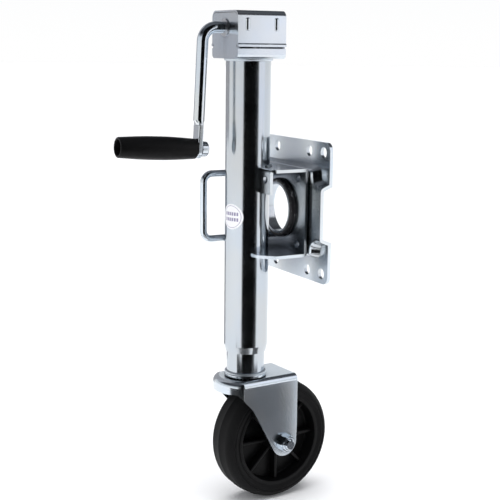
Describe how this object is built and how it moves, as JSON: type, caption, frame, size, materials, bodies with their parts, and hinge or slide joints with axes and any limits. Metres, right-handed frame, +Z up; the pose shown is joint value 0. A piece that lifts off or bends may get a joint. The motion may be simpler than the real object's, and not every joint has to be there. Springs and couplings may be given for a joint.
{
  "type": "trailer tongue jack",
  "caption": "Swivel-mount trailer tongue jack: a side-wind crank lifts a telescoping leg with a castor wheel; a spring lock handle holds it upright or folded.",
  "frame": {"origin": "centre of the mounting plate's back face, on the axis that the jack swivels about", "axes": "+Z up along the jack tube, +Y from the tube towards the trailer frame, out of the plate's back, +X along the plate's width"},
  "size_m": [0.16, 0.269, 0.5727],
  "materials": {
    "zinc_plate": "bright zinc plated",
    "bright_steel": "ground, bright",
    "dark_steel": "black oxide",
    "spring_steel": "drawn wire, plated",
    "sintered_bronze": "oiled",
    "grip_plastic": "moulded, satin black",
    "tyre_rubber": "matt black",
    "wheel_plastic": "moulded, satin black",
    "label_film": "white vinyl film"
  },
  "bodies": {
    "mount": {"mounting_plate": "zinc_plate", "hub_retainer": "dark_steel", "hub_washer": "dark_steel", "swivel_washer": "dark_steel"},
    "jack": {"swivel_bracket": "zinc_plate", "outer_tube": "zinc_plate", "round_label": "label_film", "grease_plug": "zinc_plate", "gear_frame": "zinc_plate", "gear_cover": "zinc_plate", "crank_bushings": "dark_steel", "bearing_plate": "zinc_plate", "thrust_races": "bright_steel", "thrust_balls": "bright_steel"},
    "lock": {"lock_handle": "zinc_plate", "lock_collar": "zinc_plate", "lock_spring": "spring_steel"},
    "crank": {"crank_arm": "zinc_plate", "crank_pinion": "bright_steel", "pinion_pin": "bright_steel", "shaft_clip": "zinc_plate", "grip_spindle": "zinc_plate"},
    "grip": {"hand_grip": "grip_plastic"},
    "screw": {"lift_screw": "bright_steel", "screw_gear": "bright_steel", "gear_pin": "bright_steel", "gear_washer": "sintered_bronze"},
    "leg": {"inner_tube": "zinc_plate", "lift_nut": "sintered_bronze", "king_pin": "zinc_plate", "king_nut": "zinc_plate", "castor_balls": "bright_steel"},
    "castor": {"castor_yoke": "zinc_plate", "axle_bolt": "zinc_plate", "axle_nut": "zinc_plate", "axle_washer": "zinc_plate", "wheel_bush": "sintered_bronze"},
    "wheel": {"wheel_tyre": "tyre_rubber", "wheel_rim": "wheel_plastic", "wheel_centre": "wheel_plastic", "wheel_ribs": "wheel_plastic"}
  },
  "joints": [
    {"name": "jack_swivel", "type": "hinge", "parent": "mount", "child": "jack", "pos_m": [0, 0, 0], "axis": [0, 1, 0], "range_deg": [-90, 90]},
    {"name": "lock_slide", "type": "slide", "parent": "jack", "child": "lock", "axis": [0, 1, 0], "range_m": [-0.003, 0.009], "deforming": ["lock_spring"]},
    {"name": "crank_turn", "type": "hinge", "parent": "jack", "child": "crank", "pos_m": [0, -0.064, 0.2036], "axis": [0, 1, 0], "range_deg": [0, 26460]},
    {"name": "grip_spin", "type": "hinge", "parent": "crank", "child": "grip", "pos_m": [0, -0.17631, 0.07367], "axis": [0, -0.9988, 0.0489], "continuous": true},
    {"name": "screw_turn", "type": "hinge", "parent": "jack", "child": "screw", "pos_m": [0, -0.064, 0.18], "axis": [0, 0, 1], "range_deg": [-17640.01, 0]},
    {"name": "leg_extend", "type": "slide", "parent": "jack", "child": "leg", "axis": [0, 0, -1], "range_m": [0, 0.24892]},
    {"name": "castor_swivel", "type": "hinge", "parent": "leg", "child": "castor", "pos_m": [0, -0.064, -0.1958], "axis": [0, 0, 1], "continuous": true},
    {"name": "wheel_roll", "type": "hinge", "parent": "castor", "child": "wheel", "pos_m": [-0.00286, -0.02771, -0.2777], "axis": [0.9969, 0.0785, 0], "continuous": true}
  ],
  "couplings": [
    {"joint": "screw_turn", "follows": "crank_turn", "ratio": -0.66667},
    {"joint": "leg_extend", "follows": "crank_turn", "m_per_rad": 0.000539}
  ]
}
